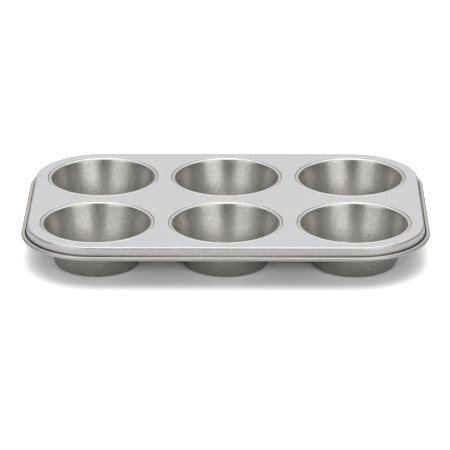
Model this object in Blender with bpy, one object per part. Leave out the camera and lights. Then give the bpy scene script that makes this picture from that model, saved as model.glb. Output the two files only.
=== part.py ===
"""Six-cup muffin pan in coated sheet steel.

A pressed deck carries six drawn cups. Each cup is locked to its hole in the deck by a folded
seam, and the foot of the deck's skirt is rolled out and up round a steel wire. Nothing on the
pan moves. Lengths are in metres and +Z is up. The length of the pan runs along X, its front faces
-Y, and the origin lies on the table under the middle of the pan.
"""

import math

import bmesh
import bpy
import numpy as np

# Sheet and fits
SHEET = 0.0004
CLEARANCE = 0.0003
FOLD_BEND = 0.0001  # inner radius of a sheet folded hard over

# Layout of the cups
COLUMN_NAMES = ("left", "centre", "right")
ROW_NAMES = ("front", "rear")
COLUMN_SPACE = 0.0036  # flat deck between the seams of neighbouring columns
ROW_SPACE = 0.0036  # flat deck between the seams of neighbouring rows

# Cups
MOUTH_RADIUS = 0.0373  # round hole in the deck
PAN_HEIGHT = 0.0283  # table to the top of the deck
WALL_TAPER = math.radians(14.8)
BASE_BEND = 0.0035  # inner radius between wall and base
LIP_BEND = 0.0014  # inner radius between the wall and the lip's crest
LIP_BACK = 0.00035  # inner radius where the lip turns down behind its crest
LIP_SET = 0.0001  # crest of the lip, below the top of the deck

# Seam between deck and cup
MOUTH_BEND = 0.0002  # inner radius where the deck turns down into its hole
HOOK_LENGTH = 0.0022  # the deck's hook, from the edge of its hole

# Rim
END_MARGIN = 0.0055  # outer seams to the deck's edge, at the two ends
SIDE_MARGIN = 0.0051  # the same, at the front and the rear
CORNER_MARGIN = 0.0043  # the deck's corner radius, less the radius of a seam
EDGE_BEND = 0.0008  # inner radius between deck and skirt
RIM_DEPTH = 0.00815  # top of the deck to the underside of the rolled rim
SKIRT_FLARE = 0.0010  # how far the skirt leans out on the way down
FOOT_BEND = 0.0006  # inner radius at the foot of the skirt
RIM_SET = 0.00035  # from the foot of the skirt out to the roll's inner side
WIRE_RADIUS = 0.0006
RIM_TAIL = 0.0002  # the roll's free edge, above the middle of the wire

# Facets
MOUTH_FACETS = 28
CORNER_FACETS = 8
WIRE_FACETS = 8
FOLD_STEPS = 1  # facets of a hard fold
BEND_STEPS = 2  # facets of a small bend
BASE_STEPS = 3  # facets of the bend round a cup's base
LIP_STEPS = 3  # facets between a cup's wall and the crest of its lip
ROLL_STEPS = 3  # facets of each quarter of the rolled rim

# Finish: colour, roughness, metallic
DECK_FINISH = ("silver_coating", (0.62, 0.62, 0.65, 1.0), 0.42, 0.85)
CUP_FINISH = ("silver_coating_cup", (0.50, 0.50, 0.48, 1.0), 0.40, 0.90)
WIRE_FINISH = ("bright_steel_wire", (0.56, 0.56, 0.55, 1.0), 0.30, 1.0)

half = SHEET / 2
fold = FOLD_BEND + half

# Heights of the seam's layers on the middle of the sheet, down from the top of the deck
deck_layer = -half
return_layer = deck_layer - SHEET - CLEARANCE
hook_layer = return_layer - SHEET - CLEARANCE
flange_layer = hook_layer - SHEET - CLEARANCE

lip_bend = LIP_BEND + half
lip_back = LIP_BACK + half
lip_layer = -LIP_SET - half
flange_radius = MOUTH_RADIUS + HOOK_LENGTH + CLEARANCE + half
seam_radius = flange_radius + half

column_pitch = 2 * seam_radius + COLUMN_SPACE
row_pitch = 2 * seam_radius + ROW_SPACE
last_column = (len(COLUMN_NAMES) - 1) / 2
last_row = (len(ROW_NAMES) - 1) / 2
half_length = last_column * column_pitch + seam_radius + END_MARGIN
half_width = last_row * row_pitch + seam_radius + SIDE_MARGIN
corner_radius = seam_radius + CORNER_MARGIN

roll_radius = WIRE_RADIUS + CLEARANCE + half
roll_offset = SKIRT_FLARE + RIM_SET + half + roll_radius
rim_floor = half - RIM_DEPTH
wire_height = rim_floor + roll_radius


def left_of(heading):
    """The direction a quarter turn to the left of a heading."""
    return np.array([-heading[1], heading[0]])


def middle_line(corners):
    """Points and left-hand normals of the middle of a bent sheet.

    Each corner is (across, height, bend radius, steps), and becomes an arc tangent to the
    straight runs that meet there. The first and last corners are the ends of the sheet.
    """
    places = np.array([corner[:2] for corner in corners])
    runs = np.diff(places, axis=0)
    headings = runs / np.linalg.norm(runs, axis=1)[:, None]
    points = [places[0]]
    normals = [left_of(headings[0])]
    for index in range(1, len(corners) - 1):
        before, after = headings[index - 1], headings[index]
        turn = math.atan2(before[0] * after[1] - before[1] * after[0], before @ after)
        radius, steps = corners[index][2:]
        side = math.copysign(radius, turn)
        start = places[index] - before * radius * math.tan(abs(turn) / 2)
        centre = start + left_of(before) * side
        for step in range(steps + 1):
            angle = turn * step / steps
            cosine, sine = math.cos(angle), math.sin(angle)
            normal = left_of(before * cosine + left_of(before) * sine)
            point = centre - normal * side
            if np.linalg.norm(point - points[-1]) > SHEET / 100:
                points.append(point)
                normals.append(normal)
    points.append(places[-1])
    normals.append(left_of(headings[-1]))
    return np.array(points), np.array(normals)


def sheet_outline(corners):
    """Both faces of a bent sheet as one outline: out along its left face, back along its right."""
    points, normals = middle_line(corners)
    return np.vstack([points + normals * half, (points - normals * half)[::-1]])


def round_path(facets):
    """Centres and directions of a full circle about the origin."""
    angles = 2 * math.pi * np.arange(facets) / facets
    directions = np.stack([np.cos(angles), np.sin(angles)], axis=1)
    return np.zeros_like(directions), directions, 0.0


def rim_path():
    """Centres and directions that run round the deck's edge, with an arc at each corner."""
    centres, directions = [], []
    for quarter, (side_x, side_y) in enumerate(((1, 1), (-1, 1), (-1, -1), (1, -1))):
        angles = math.pi / 2 * (quarter + np.arange(CORNER_FACETS + 1) / CORNER_FACETS)
        directions.append(np.stack([np.cos(angles), np.sin(angles)], axis=1))
        centre = [side_x * (half_length - corner_radius), side_y * (half_width - corner_radius)]
        centres.append(np.tile(centre, (CORNER_FACETS + 1, 1)))
    return np.vstack(centres), np.vstack(directions), corner_radius


def carry(mesh, outline, path, closed=False, centre=(0.0, 0.0)):
    """Adds the surface that an outline of (across, height) points leaves along a closed path."""
    centres, directions, reach = path
    rings = []
    for across, height in outline:
        places = centres + directions * (reach + across) + np.array(centre)
        rings.append([mesh.verts.new((x, y, height)) for x, y in places])
    pairs = list(zip(rings, rings[1:] + rings[:1]))
    for lower, upper in pairs if closed else pairs[:-1]:
        for index in range(len(lower)):
            mesh.faces.new((lower[index - 1], lower[index], upper[index], upper[index - 1]))
    return rings


def fill_between(mesh, rings):
    """Fills the flat face that lies between an outer ring and the rings inside it."""
    edges = [mesh.edges.get((ring[index - 1], ring[index])) for ring in rings for index in range(len(ring))]
    bmesh.ops.triangle_fill(mesh, use_beauty=True, edges=edges)


def finish_mesh(mesh, name):
    """Turns the faces outwards, shades them smooth and returns the mesh."""
    bmesh.ops.recalc_face_normals(mesh, faces=mesh.faces)
    data = bpy.data.meshes.new(name)
    mesh.to_mesh(data)
    mesh.free()
    data.shade_smooth()
    data.set_sharp_from_angle(angle=math.radians(50))
    return data


def make_material(name, colour, roughness, metallic):
    """A plain metal finish."""
    material = bpy.data.materials.new(name)
    material.use_nodes = True
    shader = material.node_tree.nodes["Principled BSDF"]
    shader.inputs["Base Color"].default_value = colour
    shader.inputs["Roughness"].default_value = roughness
    shader.inputs["Metallic"].default_value = metallic
    material.diffuse_color = colour
    return material


def place(name, data, material, location, parent):
    """Adds one named piece to the scene."""
    if not data.materials:
        data.materials.append(material)
    piece = bpy.data.objects.new(name, data)
    piece.location = location
    piece.parent = parent
    bpy.context.collection.objects.link(piece)


def cup_centres():
    """The name, x and y of each cup, row by row from the front."""
    for row, row_name in enumerate(ROW_NAMES):
        for column, column_name in enumerate(COLUMN_NAMES):
            x = (column - last_column) * column_pitch
            y = (row - last_row) * row_pitch
            yield f"cup_{row_name}_{column_name}", x, y


def deck_mesh():
    """The pressed deck: flat top, skirt, roll round the wire, and a hook round each hole."""
    rim = sheet_outline([
        (-EDGE_BEND - SHEET, deck_layer),
        (-half, deck_layer, EDGE_BEND + half, BEND_STEPS),
        (SKIRT_FLARE - half, rim_floor, FOOT_BEND + half, BEND_STEPS),
        (roll_offset + roll_radius, rim_floor, roll_radius, ROLL_STEPS),
        (roll_offset + roll_radius, wire_height + roll_radius, roll_radius, ROLL_STEPS),
        (roll_offset - roll_radius, wire_height + roll_radius, roll_radius, ROLL_STEPS),
        (roll_offset - roll_radius, wire_height + RIM_TAIL),
    ])
    hook = sheet_outline([
        (MOUTH_RADIUS + MOUTH_BEND + SHEET, deck_layer),
        (MOUTH_RADIUS + half, deck_layer, MOUTH_BEND + half, FOLD_STEPS),
        (MOUTH_RADIUS + half, hook_layer, fold, FOLD_STEPS),
        (MOUTH_RADIUS + HOOK_LENGTH, hook_layer),
    ])
    mesh = bmesh.new()
    outer = carry(mesh, rim, rim_path())
    holes = [carry(mesh, hook, round_path(MOUTH_FACETS), centre=(x, y)) for _, x, y in cup_centres()]
    fill_between(mesh, [outer[0]] + [hole[-1] for hole in holes])
    fill_between(mesh, [outer[-1]] + [hole[0] for hole in holes])
    return finish_mesh(mesh, "deck")


def wire_mesh():
    """The steel wire inside the rolled rim, one closed loop."""
    angles = 2 * math.pi * (np.arange(WIRE_FACETS) + 0.5) / WIRE_FACETS
    outline = np.stack(
        [roll_offset + WIRE_RADIUS * np.cos(angles), wire_height + WIRE_RADIUS * np.sin(angles)], axis=1
    )
    mesh = bmesh.new()
    carry(mesh, outline, rim_path(), closed=True)
    return finish_mesh(mesh, "rim_wire")


def cup_mesh():
    """A drawn cup: base, tapered wall, rounded lip, and the flange folded over the deck's hook."""
    base_layer = half - PAN_HEIGHT
    flank_radius = MOUTH_RADIUS - CLEARANCE - half
    wall_radius = flank_radius - lip_back - lip_bend * math.tan((math.pi / 2 - WALL_TAPER) / 2)
    base_radius = wall_radius - math.tan(WALL_TAPER) * (lip_layer - base_layer)
    outline = sheet_outline([
        (0.0, base_layer),
        (base_radius, base_layer, BASE_BEND + half, BASE_STEPS),
        (wall_radius, lip_layer, lip_bend, LIP_STEPS),
        (flank_radius, lip_layer, lip_back, BEND_STEPS),
        (flank_radius, flange_layer, fold, FOLD_STEPS),
        (flange_radius, flange_layer, fold, FOLD_STEPS),
        (flange_radius, return_layer, fold, FOLD_STEPS),
        (MOUTH_RADIUS + SHEET + 2 * CLEARANCE, return_layer),
    ])
    mesh = bmesh.new()
    rings = carry(mesh, outline[1:-1], round_path(MOUTH_FACETS))
    mesh.faces.new(rings[0])
    mesh.faces.new(rings[-1])
    return finish_mesh(mesh, "cup")


def build():
    """Clears the scene and adds the pan's pieces."""
    for old in list(bpy.data.objects):
        bpy.data.objects.remove(old, do_unlink=True)
    pan = bpy.data.objects.new("muffin_pan", None)
    bpy.context.collection.objects.link(pan)
    top = (0.0, 0.0, PAN_HEIGHT)
    place("deck", deck_mesh(), make_material(*DECK_FINISH), top, pan)
    place("rim_wire", wire_mesh(), make_material(*WIRE_FINISH), top, pan)
    cup = cup_mesh()
    cup_material = make_material(*CUP_FINISH)
    for name, x, y in cup_centres():
        place(name, cup, cup_material, (x, y, PAN_HEIGHT), pan)


build()
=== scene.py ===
import math

import bmesh
import bpy
import numpy as np
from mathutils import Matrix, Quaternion, Vector


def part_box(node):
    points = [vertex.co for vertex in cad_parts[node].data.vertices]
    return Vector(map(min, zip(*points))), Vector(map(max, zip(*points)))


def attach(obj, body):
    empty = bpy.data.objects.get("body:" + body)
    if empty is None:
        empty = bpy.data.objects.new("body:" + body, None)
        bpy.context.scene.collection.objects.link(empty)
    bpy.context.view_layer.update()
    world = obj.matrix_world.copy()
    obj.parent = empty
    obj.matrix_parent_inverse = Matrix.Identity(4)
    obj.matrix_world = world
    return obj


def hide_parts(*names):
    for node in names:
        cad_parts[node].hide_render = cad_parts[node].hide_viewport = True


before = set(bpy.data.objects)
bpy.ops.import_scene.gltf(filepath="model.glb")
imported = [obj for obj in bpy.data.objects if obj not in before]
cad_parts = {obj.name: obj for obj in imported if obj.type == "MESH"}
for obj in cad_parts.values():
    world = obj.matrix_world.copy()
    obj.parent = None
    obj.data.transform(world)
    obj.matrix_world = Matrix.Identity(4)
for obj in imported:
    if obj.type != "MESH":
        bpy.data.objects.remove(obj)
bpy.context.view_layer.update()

# Deck
# One pressed sheet of thin steel, sprayed with a silver release coating and baked. The press turns
# its edge down into a skirt, rolls the foot of it out and up round a wire, and turns the rim of each
# round hole down and under into a hook that the cups are folded over.
SHEET = 0.0004
MOUTH_RADIUS = 0.0373
MOUTH_BEND = 0.0001  # inner radius where the sheet turns down into a hole
HOOK_LENGTH = 0.0022
SEAM_GAP = 0.0003  # between the folded layers of a seam
HARD_FOLD = 0.0001  # inner radius of a sheet folded flat on itself
EDGE_BEND = 0.0009  # inner radius where the top turns down into the skirt
RIM_DEPTH = 0.00815  # top of the deck to the underside of the rolled rim
SKIRT_FLARE = 0.0010  # how far the skirt leans out on its way down
FOOT_BEND = 0.0006  # inner radius where it turns out into the roll
RIM_SET = 0.00035  # from the foot of the skirt out to the roll's inner side
WIRE_RADIUS = 0.0007
WIRE_GAP = 0.0002  # between the wire and the sheet round it
RIM_TAIL = 0.0004  # the roll's free edge, above the middle of the wire
TAIL_LEAN = 0.0003  # how far that edge leans in towards the skirt
TAIL_BEND = 0.6  # radius of the roll's last bend, as a share of the roll's own
CORNER_RADIUS = 0.0445  # of the deck's corners, measured at the top of the skirt
SPOKES = 144  # columns of faces round a cup, divisible by four so that both halves mirror
FLAT_ROWS = 8  # rows of faces between a hole and the limit of its share of the flat sheet
BEND_STEP = math.radians(11.25)  # widest turn between two faces of a bend
LONG_RUN = 4 * SHEET  # a straight run longer than this is cut into several faces,
RUN_FACES = 4  # at least this many,
RUN_STEP = 0.006  # and one more for every such length
SHARP = math.radians(40)  # edges that turn more than this are shaded sharp
WELD = 0.000002  # points closer than this are one point

half = SHEET / 2
fold = HARD_FOLD + half
cup_names = sorted(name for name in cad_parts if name.startswith("cup_"))
cup_centres = {name: np.mean([corner[:2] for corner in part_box(name)], axis=0) for name in cup_names}
deck_high = np.array(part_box("deck")[1])
pan_top = deck_high[2]
roll_radius = WIRE_RADIUS + WIRE_GAP + half
roll_offset = SKIRT_FLARE + RIM_SET + half + roll_radius
deck_edge = deck_high[:2] - roll_offset - roll_radius - half
corner_centre = deck_edge - CORNER_RADIUS
flat_inset = EDGE_BEND + 2 * SHEET
flat_corner = CORNER_RADIUS - flat_inset
deck_layer = -half
return_layer = deck_layer - SHEET - SEAM_GAP
hook_layer = return_layer - SHEET - SEAM_GAP
rim_floor = half - RIM_DEPTH
wire_height = rim_floor + roll_radius


def spaced(start, end):
    """Points along a straight run, crowded towards its ends by half a turn of a cosine."""
    count = RUN_FACES + math.ceil(np.linalg.norm(end - start) / RUN_STEP)
    return start + (end - start) * (1 - np.cos(np.pi * np.arange(1, count)[:, None] / count)) / 2


def bent_sheet(corners):
    """Both faces of a bent sheet, as one outline of (across, height) points.

    The middle of the sheet runs straight from corner to corner, and a corner (across, height,
    radius) is an arc tangent to both runs. Each face lies half a sheet to the side of it.
    """
    places = np.array([corner[:2] for corner in corners], float)
    headings = np.diff(places, axis=0)
    headings /= np.linalg.norm(headings, axis=1)[:, None]
    sideways = np.stack([-headings[:, 1], headings[:, 0]], axis=1)
    middle, normals = [places[:1]], [sideways[:1]]
    for index, radius in enumerate([corner[2] for corner in corners[1:-1]] + [None]):
        before, left, place = headings[index], sideways[index], places[index + 1]
        if radius is None:
            arc, facing = place[None], left[None]
        else:
            turn = math.atan2(left @ headings[index + 1], before @ headings[index + 1])
            side = math.copysign(radius, turn)
            centre = place - before * radius * math.tan(abs(turn) / 2) + left * side
            angles = np.linspace(0, turn, 1 + math.ceil(abs(turn) / BEND_STEP))[:, None]
            facing = left * np.cos(angles) - before * np.sin(angles)
            arc = centre - facing * side
        if np.linalg.norm(arc[0] - middle[-1][-1]) > LONG_RUN:
            run = spaced(middle[-1][-1], arc[0])
            middle.append(run)
            normals.append(np.broadcast_to(left, run.shape))
        middle.append(arc)
        normals.append(facing)
    middle, normals = np.vstack(middle), np.vstack(normals)
    keep = np.append(True, np.linalg.norm(np.diff(middle, axis=0), axis=1) > WELD)
    middle, normals = middle[keep], normals[keep]
    return np.vstack([middle + normals * half, (middle - normals * half)[::-1]])


def carried(outline, feet, directions, reach=0.0):
    """A grid, one row per outline point (across, height), at foot + direction * (reach + across)."""
    flat = feet + directions * (reach + outline[:, 0])[:, None, None]
    height = np.broadcast_to(pan_top + outline[:, 1][:, None, None], flat.shape[:2] + (1,))
    return np.concatenate([flat, height], axis=2)


def welded(name, grids):
    """One closed mesh from grids whose columns run round in rings, with their common edges merged."""
    points, quads, first = [], [], 0
    for grid in grids:
        rows, columns = grid.shape[:2]
        row, column = np.meshgrid(np.arange(rows - 1), np.arange(columns), indexing="ij")
        here, after = row * columns + column, row * columns + (column + 1) % columns
        faces = np.stack([here, after, after + columns, here + columns], axis=-1)
        quads.append(first + faces.reshape(-1, 4))
        points.append(grid.reshape(-1, 3))
        first += rows * columns
    mesh = bpy.data.meshes.new(name)
    mesh.from_pydata(np.vstack(points), [], np.vstack(quads))
    shell = bmesh.new()
    shell.from_mesh(mesh)
    bmesh.ops.remove_doubles(shell, verts=shell.verts, dist=WELD)
    bmesh.ops.recalc_face_normals(shell, faces=shell.faces)
    shell.to_mesh(mesh)
    shell.free()
    mesh.shade_smooth()
    mesh.set_sharp_from_angle(angle=SHARP)
    return mesh


def piece(name, mesh, material, node):
    """A finished piece with its place in its mesh, standing for a CAD node."""
    mesh.materials.append(material)
    made = bpy.data.objects.new(name, mesh)
    bpy.context.scene.collection.objects.link(made)
    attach(made, "root")
    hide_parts(node)


def linear(code):
    """An sRGB hex colour as linear red, green, blue and alpha."""
    srgb = np.array([int(code[place:place + 2], 16) for place in (1, 3, 5)]) / 255
    light = np.where(srgb <= 0.04045, srgb / 12.92, ((srgb + 0.055) / 1.055) ** 2.4)
    return (*(float(value) for value in light), 1.0)


def add_node(tree, kind, inputs, **settings):
    """Adds a node with its settings, and sets or links its inputs, named or numbered."""
    node = tree.nodes.new(kind)
    for name, value in settings.items():
        setattr(node, name, value)
    for name, value in inputs.items():
        if isinstance(value, bpy.types.NodeSocket):
            tree.links.new(value, node.inputs[name])
        else:
            node.inputs[name].default_value = value
    return node


def spokes(extra):
    """Directions of even spokes round a circle, with the extra angles sorted in and none twice."""
    angles = np.append(2 * np.pi * np.arange(SPOKES) / SPOKES, np.mod(extra, 2 * np.pi))
    angles = np.unique(np.round(angles, 6))
    return np.stack([np.cos(angles), np.sin(angles)], axis=1)


def cell_walls(centre):
    """The low and high (x, y) limits of a cup's share of the flat sheet.

    A limit lies halfway to the next cup, or at the end of the flat sheet where there is none.
    """
    flat_end = deck_edge - flat_inset
    all_centres = np.array(list(cup_centres.values()))
    walls = []
    for axis in (0, 1):
        lines = np.unique(np.round(all_centres[:, axis], 5))
        lines = np.concatenate([[-flat_end[axis]], (lines[1:] + lines[:-1]) / 2, [flat_end[axis]]])
        place = np.searchsorted(lines, centre[axis])
        walls.append(lines[place - 1:place + 1])
    return np.array(walls).T


def cell_edge(centre, directions):
    """Where each spoke from a cup's centre meets the nearest limit of its cell.

    Past both middles of a pan corner, the limit is the corner's arc instead of the straight edges.
    """
    low, high = cell_walls(centre)
    with np.errstate(divide="ignore"):
        reach = (np.where(directions > 0, high, low) - centre) / directions
    reach = np.where(directions == 0, np.inf, reach).min(axis=1)
    met = centre + directions * reach[:, None]
    to_arc = corner_centre * np.sign(met) - centre
    along = (to_arc * directions).sum(axis=1)
    arc = along + np.sqrt(np.maximum(flat_corner**2 - (to_arc**2).sum(axis=1) + along**2, 0.0))
    reach = np.where((np.abs(met) > corner_centre).all(axis=1), arc, reach)
    return centre + directions * reach[:, None]


hook_outline = bent_sheet([
    (MOUTH_RADIUS + MOUTH_BEND + 2 * SHEET, deck_layer),
    (MOUTH_RADIUS + half, deck_layer, MOUTH_BEND + half),
    (MOUTH_RADIUS + half, hook_layer, fold),
    (MOUTH_RADIUS + HOOK_LENGTH, hook_layer),
])
rim_outline = bent_sheet([
    (-flat_inset, deck_layer),
    (-half, deck_layer, EDGE_BEND + half),
    (SKIRT_FLARE - half, rim_floor, FOOT_BEND + half),
    (roll_offset + roll_radius, rim_floor, roll_radius),
    (roll_offset + roll_radius, wire_height + roll_radius, roll_radius),
    (roll_offset - roll_radius, wire_height + roll_radius, TAIL_BEND * roll_radius),
    (roll_offset - roll_radius - TAIL_LEAN, wire_height + RIM_TAIL),
])
deck_grids, edge_points = [], []
for centre in cup_centres.values():
    low, high = cell_walls(centre)
    corners = np.array([(x, y) for x in (low[0], high[0]) for y in (low[1], high[1])]) - centre
    directions = spokes(np.arctan2(corners[:, 1], corners[:, 0]))
    hook = carried(hook_outline, centre, directions)
    outer = cell_edge(centre, directions)
    share = (1 - np.cos(np.pi * np.arange(FLAT_ROWS + 1) / FLAT_ROWS))[:, None, None] / 2
    for inner, height in ((hook[-1], pan_top), (hook[0], pan_top - SHEET)):
        flat = inner[:, :2] * (1 - share) + outer * share
        deck_grids.append(np.concatenate([flat, np.full(flat.shape[:2] + (1,), height)], axis=2))
    deck_grids.append(hook)
    edge_points.append(outer)

edge_points = np.vstack(edge_points)
rim_feet = np.clip(edge_points, -corner_centre, corner_centre)
on_rim = np.abs(np.linalg.norm(edge_points - rim_feet, axis=1) - flat_corner) < WELD
edge_points, rim_feet = edge_points[on_rim], rim_feet[on_rim]
turn_order = np.argsort(np.arctan2(edge_points[:, 1], edge_points[:, 0]))
edge_points, rim_feet = edge_points[turn_order], rim_feet[turn_order]
apart = np.linalg.norm(edge_points - np.roll(edge_points, 1, axis=0), axis=1) > WELD
rim_feet = rim_feet[apart]
rim_directions = (edge_points[apart] - rim_feet) / flat_corner
deck_grids.append(carried(rim_outline, rim_feet, rim_directions, reach=CORNER_RADIUS))

# Silver release coating on the deck
# A sprayed and baked coating with aluminium flake in it: satin, cool grey, with a faint orange-peel
# skin and a grain of flakes that lie at slightly different angles. The skirt and the roll are a
# little lighter, as painted light, and the seams round the holes, the crevice beside the roll and
# the roll itself are darker, as painted shade.
COATING_COLOUR = "#CDCCCF"
SKIRT_LIGHT_COLOUR = "#D4D2CF"  # painted light: the skirt and the roll are lighter and a little warmer, for the bright floor they mirror
SKIRT_LIGHT_DEPTHS = (0.0003, 0.0015)  # depths below the top between which the painted light comes in
COATING_ROUGHNESS = 0.42
ROUGHNESS_SWING = 0.05  # how much rougher or smoother a spot is
FLAKE = 0.001  # real flakes are about 0.05 mm; drawn coarser so that they show
FLAKE_DEPTH = 0.00004
FLAKE_SHADE = 0.09  # how much lighter or darker a flake is than the coating
ORANGE_PEEL = 0.006
PEEL_DEPTH = 0.00002
NOISE_RANGE = (0.3, 0.7)  # a noise texture's values hardly leave it
PAINTED_SHADE_COLOUR = "#5C5A58"  # painted shade in the seams, in the crevice beside the roll and on the roll
SEAM_SHADE_DEPTHS = (0.00022, 0.0004)  # depths between which the painted shade comes in on the edge of a hole
CREVICE_SHADE_DEPTHS = (0.00575, 0.0062)  # the same between the skirt and the roll, along the sides
CORNER_SHADE_RISE = 0.0004  # how much higher the painted shade starts at the corners
CREVICE_END = (0.9, 0.4)  # shares of the roll's radius, inwards of its middle, where it fades out
ROLL_SHADE = 0.22  # how far the roll is darkened towards the painted shade colour

deck_finish = bpy.data.materials.new("silver_release_coating")
deck_finish.use_nodes = True
tree = deck_finish.node_tree
surface = tree.nodes["Principled BSDF"]
surface.inputs["Metallic"].default_value = 1.0
spot = add_node(tree, "ShaderNodeTexCoord", {}).outputs["Object"]
level = add_node(tree, "ShaderNodeSeparateXYZ", {0: spot}).outputs["Z"]
# Lighter towards the skirt and the roll below the top: painted light.
below = add_node(tree, "ShaderNodeMapRange", {
    "Value": level, "From Min": pan_top - SKIRT_LIGHT_DEPTHS[0], "From Max": pan_top - SKIRT_LIGHT_DEPTHS[1],
})
painted_light_tint = add_node(tree, "ShaderNodeMix", {
    0: below.outputs[0], 6: linear(COATING_COLOUR), 7: linear(SKIRT_LIGHT_COLOUR),
}, data_type="RGBA")
flakes = add_node(tree, "ShaderNodeTexNoise", {"Vector": spot, "Scale": 1 / FLAKE, "Detail": 2.0})
shade = add_node(tree, "ShaderNodeMapRange", {
    "Value": flakes.outputs[0], "From Min": NOISE_RANGE[0], "From Max": NOISE_RANGE[1],
    "To Min": 1 - FLAKE_SHADE, "To Max": 1 + FLAKE_SHADE,
})
full_coat = add_node(tree, "ShaderNodeVectorMath", {
    0: painted_light_tint.outputs[2], "Scale": shade.outputs[0],
}, operation="SCALE")
# Darker in the seams, in the crevice beside the roll and on the roll: painted shade.
shade_fac = add_node(tree, "ShaderNodeAttribute", {}, attribute_name="painted_shade").outputs["Fac"]
coat = add_node(tree, "ShaderNodeMix", {
    0: shade_fac, 6: full_coat.outputs[0], 7: linear(PAINTED_SHADE_COLOUR),
}, data_type="RGBA")
tree.links.new(coat.outputs[2], surface.inputs["Base Color"])
peel = add_node(tree, "ShaderNodeTexNoise", {"Vector": spot, "Scale": 1 / ORANGE_PEEL, "Detail": 1.0})
rough = add_node(tree, "ShaderNodeMapRange", {
    "Value": flakes.outputs[0], "From Min": NOISE_RANGE[0], "From Max": NOISE_RANGE[1],
    "To Min": COATING_ROUGHNESS - ROUGHNESS_SWING, "To Max": COATING_ROUGHNESS + ROUGHNESS_SWING,
})
tree.links.new(rough.outputs[0], surface.inputs["Roughness"])
peel_bump = add_node(tree, "ShaderNodeBump", {"Height": peel.outputs[0], "Distance": PEEL_DEPTH})
flake_bump = add_node(tree, "ShaderNodeBump", {
    "Height": flakes.outputs[0], "Distance": FLAKE_DEPTH, "Normal": peel_bump.outputs[0],
})
tree.links.new(flake_bump.outputs[0], surface.inputs["Normal"])


def points_of(mesh):
    """The mesh's vertices as an array of rows (x, y, z)."""
    points = np.empty(3 * len(mesh.vertices), np.float32)
    mesh.vertices.foreach_get("co", points)
    return points.reshape(-1, 3)


def ramp(values, start, end):
    """Runs from 0 to 1 as the values go from start to end."""
    return np.clip((values - start) / (end - start), 0, 1)


deck_mesh = welded("pressed_deck", deck_grids)
points = points_of(deck_mesh)
depth = pan_top - points[:, 2]
to_centres = points[:, None, :2] - np.array(list(cup_centres.values()))
near_hole = np.linalg.norm(to_centres, axis=2).min(axis=1) < MOUTH_RADIUS + HOOK_LENGTH
feet = np.clip(points[:, :2], -corner_centre, corner_centre)
beyond = np.linalg.norm(points[:, :2] - feet, axis=1) - CORNER_RADIUS
# Painted shade: on the edge of each hole below the top, in the crevice between skirt and roll, higher
# at the corners, and a little across the roll.
inside_roll = 1 - ramp(beyond, *(roll_offset - share * roll_radius for share in CREVICE_END))
in_corner = np.abs(points[:, 0] * points[:, 1])
in_corner /= in_corner.max()
in_crevice = ramp(depth + CORNER_SHADE_RISE * in_corner, *CREVICE_SHADE_DEPTHS) * inside_roll
on_roll = ROLL_SHADE * ramp(beyond, SKIRT_FLARE, roll_offset - roll_radius)
painted_shade = np.where(near_hole, ramp(depth, *SEAM_SHADE_DEPTHS), np.maximum(in_crevice, on_roll))
shade_row = deck_mesh.attributes.new("painted_shade", "FLOAT", "POINT")
shade_row.data.foreach_set("value", painted_shade.astype(np.float32))
piece("pressed_deck", deck_mesh, deck_finish, "deck")

# Rim wire
# Drawn steel wire, bent into one loop and butted. The deck's edge is rolled round it to make the
# rim stiff, so it shows only in the crevice between the roll's free edge and the skirt.
# Dull dark steel, made this dark partly as painted shade for the crevice it shows in.
WIRE_COLOUR = "#7A7875"
WIRE_ROUGHNESS = (0.4, 0.6)
MILL_SCALE = 0.002  # size of the duller patches that the mill leaves
WIRE_FACES = 20  # round the wire

wire_finish = bpy.data.materials.new("drawn_steel_wire")
wire_finish.use_nodes = True
tree = wire_finish.node_tree
surface = tree.nodes["Principled BSDF"]
surface.inputs["Base Color"].default_value = linear(WIRE_COLOUR)
surface.inputs["Metallic"].default_value = 1.0
spot = add_node(tree, "ShaderNodeTexCoord", {}).outputs["Object"]
scale_marks = add_node(tree, "ShaderNodeTexNoise", {
    "Vector": spot, "Scale": 1 / MILL_SCALE, "Detail": 3.0,
})
rough = add_node(tree, "ShaderNodeMapRange", {
    "Value": scale_marks.outputs[0], "From Min": NOISE_RANGE[0], "From Max": NOISE_RANGE[1],
    "To Min": WIRE_ROUGHNESS[0], "To Max": WIRE_ROUGHNESS[1],
})
tree.links.new(rough.outputs[0], surface.inputs["Roughness"])

around = 2 * np.pi * np.arange(WIRE_FACES + 1) / WIRE_FACES
wire_outline = (roll_offset, wire_height) + WIRE_RADIUS * np.stack([np.cos(around), np.sin(around)], 1)
wire_grid = carried(wire_outline, rim_feet, rim_directions, reach=CORNER_RADIUS)
piece("stiffening_wire", welded("stiffening_wire", [wire_grid]), wire_finish, "rim_wire")

# Cups
# Six cups drawn from thin coated steel: a flat base, a tapered wall and a rounded lip that stands
# just below the deck. Outside the lip the sheet runs down, out under the deck's hook and back over
# it, and the press flattens the layers into a seam.
WALL_TAPER = math.radians(14.8)
BASE_BEND = 0.0035
CREST_SET = 0.00105  # crest of the lip to the edge of the hole, level
LIP_BEND = 0.0014  # inner radius of the lip's rounded shoulder
LIP_SLOPE = math.radians(25)  # how steeply the lip falls behind its crest
LIP_SET = 0.0001  # crest of the lip, below the top of the deck
LIP_GAP = 0.00005  # between the lip and the edge of its hole

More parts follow.
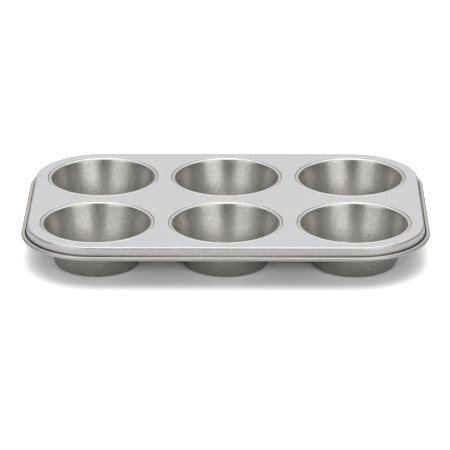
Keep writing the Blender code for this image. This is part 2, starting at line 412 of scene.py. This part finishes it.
base_layer = half - pan_top
flange_layer = hook_layer - SHEET - SEAM_GAP
lip_layer = -LIP_SET - half
lip_bend = LIP_BEND + half
lip_centre = lip_layer - lip_bend
crest_radius = MOUTH_RADIUS - CREST_SET
flank_radius = MOUTH_RADIUS - LIP_GAP - half
lip_fall = (flank_radius - crest_radius) * math.tan(LIP_SLOPE)
flank_layer = lip_centre + lip_bend / math.cos(LIP_SLOPE) - lip_fall
wall_lean = math.pi / 2 - WALL_TAPER
shoulder_reach = lip_bend / math.cos((wall_lean + LIP_SLOPE) / 2)
shoulder_radius = crest_radius - shoulder_reach * math.sin((wall_lean - LIP_SLOPE) / 2)
shoulder_layer = lip_centre + shoulder_reach * math.cos((wall_lean - LIP_SLOPE) / 2)
base_radius = shoulder_radius - math.tan(WALL_TAPER) * (shoulder_layer - base_layer)
flange_radius = MOUTH_RADIUS + HOOK_LENGTH + SEAM_GAP + half

cup_outline = bent_sheet([
    (0.0, base_layer),
    (base_radius, base_layer, BASE_BEND + half),
    (shoulder_radius, shoulder_layer, lip_bend),
    (flank_radius, flank_layer, fold),
    (flank_radius, flange_layer, fold),
    (flange_radius, flange_layer, fold),
    (flange_radius, return_layer, fold),
    (MOUTH_RADIUS + SHEET + 2 * SEAM_GAP, return_layer),
])

# Silver release coating on the cups
# The same coating where the press has stretched the sheet: a little darker and warmer, with fine
# lines that run up the wall. The draw also ripples it in rings too fine to see, which spread each
# highlight up the wall into a long band.
DRAWN_COLOUR = "#C4C2BE"
LIP_HIGHLIGHT_COLOUR = "#D2D1CD"  # painted highlight: the lip is lighter, for the bright ring it shows
LIP_HIGHLIGHT_DEPTHS = (0.0006, 0.0022)  # depths below the top between which the wall's colour comes in
DRAWN_ROUGHNESS = 0.35
DRAWN_SWING = 0.06  # how much rougher or smoother a drawn line is
WALL_STRETCH = 0.42  # how much more a highlight spreads up the wall than round it
NEARLY_UP = (0.001, 0.0, 1.0)  # not quite, so that the flat base has a direction too
DRAW_LINE = 0.0008  # spacing round the wall; real lines are about 0.1 mm, drawn coarser to show
DRAW_STRETCH = 5.0  # how much longer than wide a line is
DRAW_DEPTH = 0.000034
LINE_SHADE = 0.07  # how much lighter or darker a line is than the coating
SPARK_DEPTH = 0.00004
SPARK_SHADE = 0.15  # how much lighter or darker a flake is

cup_finish = bpy.data.materials.new("silver_release_coating_drawn")
cup_finish.use_nodes = True
tree = cup_finish.node_tree
surface = tree.nodes["Principled BSDF"]
surface.inputs["Metallic"].default_value = 1.0
surface.inputs["Anisotropic"].default_value = WALL_STRETCH
facing = add_node(tree, "ShaderNodeNewGeometry", {}).outputs["Normal"]
round_wall = add_node(tree, "ShaderNodeVectorMath", {
    0: NEARLY_UP, 1: facing,
}, operation="CROSS_PRODUCT")
up_wall = add_node(tree, "ShaderNodeVectorMath", {
    0: facing, 1: round_wall.outputs[0],
}, operation="CROSS_PRODUCT")
tree.links.new(up_wall.outputs[0], surface.inputs["Tangent"])
lines_at = add_node(tree, "ShaderNodeAttribute", {}, attribute_name="draw_lines").outputs["Vector"]
draw_marks = add_node(tree, "ShaderNodeTexNoise", {
    "Vector": lines_at, "Scale": 1 / DRAW_LINE, "Detail": 2.0,
})
spot = add_node(tree, "ShaderNodeTexCoord", {}).outputs["Object"]
sparkle = add_node(tree, "ShaderNodeTexNoise", {"Vector": spot, "Scale": 1 / FLAKE, "Detail": 2.0})
line_shade = add_node(tree, "ShaderNodeMapRange", {
    "Value": draw_marks.outputs[0], "From Min": NOISE_RANGE[0], "From Max": NOISE_RANGE[1],
    "To Min": -LINE_SHADE, "To Max": LINE_SHADE,
})
spark_shade = add_node(tree, "ShaderNodeMapRange", {
    "Value": sparkle.outputs[0], "From Min": NOISE_RANGE[0], "From Max": NOISE_RANGE[1],
    "To Min": 1 - SPARK_SHADE, "To Max": 1 + SPARK_SHADE,
})
shade = add_node(tree, "ShaderNodeMath", {
    0: line_shade.outputs[0], 1: spark_shade.outputs[0],
}, operation="ADD")
level = add_node(tree, "ShaderNodeSeparateXYZ", {0: spot}).outputs["Z"]
below = add_node(tree, "ShaderNodeMapRange", {
    "Value": level, "From Min": pan_top - LIP_HIGHLIGHT_DEPTHS[0], "From Max": pan_top - LIP_HIGHLIGHT_DEPTHS[1],
})
# Lighter on the lip than down the wall: painted highlight.
painted_light_tint = add_node(tree, "ShaderNodeMix", {
    0: below.outputs[0], 6: linear(LIP_HIGHLIGHT_COLOUR), 7: linear(DRAWN_COLOUR),
}, data_type="RGBA")
coat = add_node(tree, "ShaderNodeVectorMath", {
    0: painted_light_tint.outputs[2], "Scale": shade.outputs[0],
}, operation="SCALE")
tree.links.new(coat.outputs[0], surface.inputs["Base Color"])
rough = add_node(tree, "ShaderNodeMapRange", {
    "Value": draw_marks.outputs[0], "From Min": NOISE_RANGE[0], "From Max": NOISE_RANGE[1],
    "To Min": DRAWN_ROUGHNESS - DRAWN_SWING, "To Max": DRAWN_ROUGHNESS + DRAWN_SWING,
})
tree.links.new(rough.outputs[0], surface.inputs["Roughness"])
line_bump = add_node(tree, "ShaderNodeBump", {"Height": draw_marks.outputs[0], "Distance": DRAW_DEPTH})
spark_bump = add_node(tree, "ShaderNodeBump", {
    "Height": sparkle.outputs[0], "Distance": SPARK_DEPTH, "Normal": line_bump.outputs[0],
})
tree.links.new(spark_bump.outputs[0], surface.inputs["Normal"])

for number, (name, centre) in enumerate(cup_centres.items()):
    mesh = welded("drawn_" + name, [carried(cup_outline, centre, spokes([]))])
    points = points_of(mesh)
    aside = points[:, :2] - centre
    radius = np.linalg.norm(aside, axis=1)[:, None]
    aside *= np.minimum(radius, base_radius) / np.maximum(radius, WELD)
    along_wall = points[:, 2:] / DRAW_STRETCH + number
    lines = mesh.attributes.new("draw_lines", "FLOAT_VECTOR", "POINT")
    lines.data.foreach_set("vector", np.hstack([aside, along_wall]).astype(np.float32).ravel())
    piece("drawn_" + name, mesh, cup_finish, name)

# Floor
# A matt pale grey studio floor. The camera sees it lighter than it is, so that it is white away
# from the pan and still keeps the pan's shadow. The metal sees it a little lighter too.
FLOOR_COLOUR = "#C4C4C4"
FLOOR_LIFT = 2.6  # how much lighter the camera sees the floor than it is
MIRRORED_LIFT = 1.25  # how much lighter metal and glass see it
FLOOR_REACH = 3.0  # from its middle to each edge

floor_finish = bpy.data.materials.new("pale_studio_floor")
floor_finish.use_nodes = True
tree = floor_finish.node_tree
tree.nodes.clear()
path = add_node(tree, "ShaderNodeLightPath", {})
mirrored = add_node(tree, "ShaderNodeMath", {
    0: path.outputs["Is Glossy Ray"], 1: path.outputs["Is Transmission Ray"],
}, operation="MAXIMUM")
lift = add_node(tree, "ShaderNodeMath", {
    0: mirrored.outputs[0], 1: MIRRORED_LIFT - 1, 2: 1.0,
}, operation="MULTIPLY_ADD")
lift = add_node(tree, "ShaderNodeMath", {
    0: path.outputs["Is Camera Ray"], 1: FLOOR_LIFT - 1, 2: lift.outputs[0],
}, operation="MULTIPLY_ADD")
seen = add_node(tree, "ShaderNodeVectorMath", {
    0: linear(FLOOR_COLOUR)[:3], "Scale": lift.outputs[0],
}, operation="SCALE")
matt = add_node(tree, "ShaderNodeBsdfDiffuse", {"Color": seen.outputs[0]})
add_node(tree, "ShaderNodeOutputMaterial", {"Surface": matt.outputs[0]})

floor_mesh = bpy.data.meshes.new("studio_floor")
floor_corners = np.array([(-1, -1, 0), (1, -1, 0), (1, 1, 0), (-1, 1, 0)]) * FLOOR_REACH
floor_mesh.from_pydata(floor_corners, [], [(0, 1, 2, 3)])
floor_mesh.materials.append(floor_finish)
floor = bpy.data.objects.new("studio_floor", floor_mesh)
bpy.context.scene.collection.objects.link(floor)

# Studio
# A softbox that fills the ceiling of a dark room and comes down to the horizon behind the pan, and
# two wide soft lamps in front, which draw the two bright bands in each cup. A third lamp overhead
# draws the shadow on the floor. The camera sees plain white where the world shows.
CEILING_LIGHT = (0.1, 2.05)  # strength: the first, plus the second times Z
CEILING_LEAN = 0.56  # the ceiling reaches lower at the back, by this share of Y
CEILING_EDGE = (0.52, 0.60)  # and fades in between these values of Z with that share added
CEILING_SIDES = (0.62, 0.89)  # how much dimmer it gets sideways, in full from that value of X on
ROOM_LIGHT = 0.045  # strength of the rest of the room

world = bpy.data.worlds.new("studio")
bpy.context.scene.world = world
world.use_nodes = True
tree = world.node_tree
tree.nodes.clear()
direction = add_node(tree, "ShaderNodeTexCoord", {}).outputs["Generated"]
heading = add_node(tree, "ShaderNodeSeparateXYZ", {0: direction})
strength = add_node(tree, "ShaderNodeMath", {
    0: heading.outputs["Z"], 1: CEILING_LIGHT[1], 2: CEILING_LIGHT[0],
}, operation="MULTIPLY_ADD")
height = add_node(tree, "ShaderNodeMath", {
    0: heading.outputs["Y"], 1: CEILING_LEAN, 2: heading.outputs["Z"],
}, operation="MULTIPLY_ADD")
inside = add_node(tree, "ShaderNodeMapRange", {
    "Value": height.outputs[0], "From Min": CEILING_EDGE[0], "From Max": CEILING_EDGE[1],
}, interpolation_type="SMOOTHSTEP")
strength = add_node(tree, "ShaderNodeMath", {
    0: strength.outputs[0], 1: inside.outputs[0],
}, operation="MULTIPLY")
aside = add_node(tree, "ShaderNodeMath", {0: heading.outputs["X"]}, operation="ABSOLUTE")
dimmed = add_node(tree, "ShaderNodeMapRange", {
    "Value": aside.outputs[0], "From Max": CEILING_SIDES[1],
    "To Min": 1.0, "To Max": 1 - CEILING_SIDES[0],
}, interpolation_type="SMOOTHSTEP")
strength = add_node(tree, "ShaderNodeMath", {
    0: strength.outputs[0], 1: dimmed.outputs[0], 2: ROOM_LIGHT,
}, operation="MULTIPLY_ADD")
softbox = add_node(tree, "ShaderNodeBackground", {
    "Color": linear("#FFFFFF"), "Strength": strength.outputs[0],
})
white = add_node(tree, "ShaderNodeBackground", {"Color": linear("#FFFFFF"), "Strength": 1.0})
path = add_node(tree, "ShaderNodeLightPath", {})
lit = add_node(tree, "ShaderNodeMixShader", {
    0: path.outputs["Is Camera Ray"], 1: softbox.outputs[0], 2: white.outputs[0],
})
add_node(tree, "ShaderNodeOutputWorld", {"Surface": lit.outputs[0]})

LAMP_DISTANCE = 1.5
LAMPS = {  # turn and rise in degrees, width and height in metres, brightness
    "lamp_left": (-41.2, 21.0, 1.03, 0.29, 4.8),
    "lamp_right": (33.8, 20.5, 1.08, 0.38, 3.9),
    "lamp_top": (0.0, 80.0, 0.9, 2.2, 1.3),
}


def aimed(position, target):
    """A rotation that points a lamp's or camera's -Z from its position at a target."""
    return (target - position).to_track_quat("-Z", "Y")


def outward(turn, rise):
    """The direction at a turn from the front towards +X and a rise above the table, in radians."""
    return Vector((math.sin(turn) * math.cos(rise), -math.cos(turn) * math.cos(rise), math.sin(rise)))


for name, (turn, rise, width, tall, brightness) in LAMPS.items():
    lamp_data = bpy.data.lights.new(name, "AREA")
    lamp_data.shape = "RECTANGLE"
    lamp_data.size, lamp_data.size_y = width, tall
    lamp_data.energy = brightness * math.pi * width * tall
    lamp = bpy.data.objects.new(name, lamp_data)
    lamp.location = LAMP_DISTANCE * outward(math.radians(turn), math.radians(rise))
    lamp.rotation_euler = aimed(lamp.location, Vector((0, 0, pan_top))).to_euler()
    lamp.visible_glossy = name != "lamp_top"  # or the metal would show it as a hot spot
    bpy.context.scene.collection.objects.link(lamp)

# Camera
# The photograph's view: from the front, about 22 degrees above the table and about two metres off.
VIEW_DISTANCE = 1.9645
VIEW_HEIGHT = math.radians(21.66)
VIEW_TURN = math.radians(0.514)
VIEW_ROLL = math.radians(-0.097)
VIEW_TARGET = (-0.00045, 0.0, 0.00902)
LENS = 234.87
SENSOR = 36.0
HALF_PIXEL = 0.5 / 450  # of the photograph
FARTHEST = 20.0  # that the camera sees

camera_data = bpy.data.cameras.new("camera")
camera_data.sensor_width = SENSOR
camera_data.lens = LENS
camera_data.clip_end = FARTHEST
camera_data.shift_x = -HALF_PIXEL
camera_data.shift_y = HALF_PIXEL
camera = bpy.data.objects.new("camera", camera_data)
camera.location = Vector(VIEW_TARGET) + outward(VIEW_TURN, VIEW_HEIGHT) * VIEW_DISTANCE
camera.rotation_mode = "QUATERNION"
facing_pan = aimed(camera.location, Vector(VIEW_TARGET))
camera.rotation_quaternion = facing_pan @ Quaternion((0, 0, 1), VIEW_ROLL)
bpy.context.scene.collection.objects.link(camera)
bpy.context.scene.camera = camera

bpy.context.scene.view_settings.view_transform = "Standard"
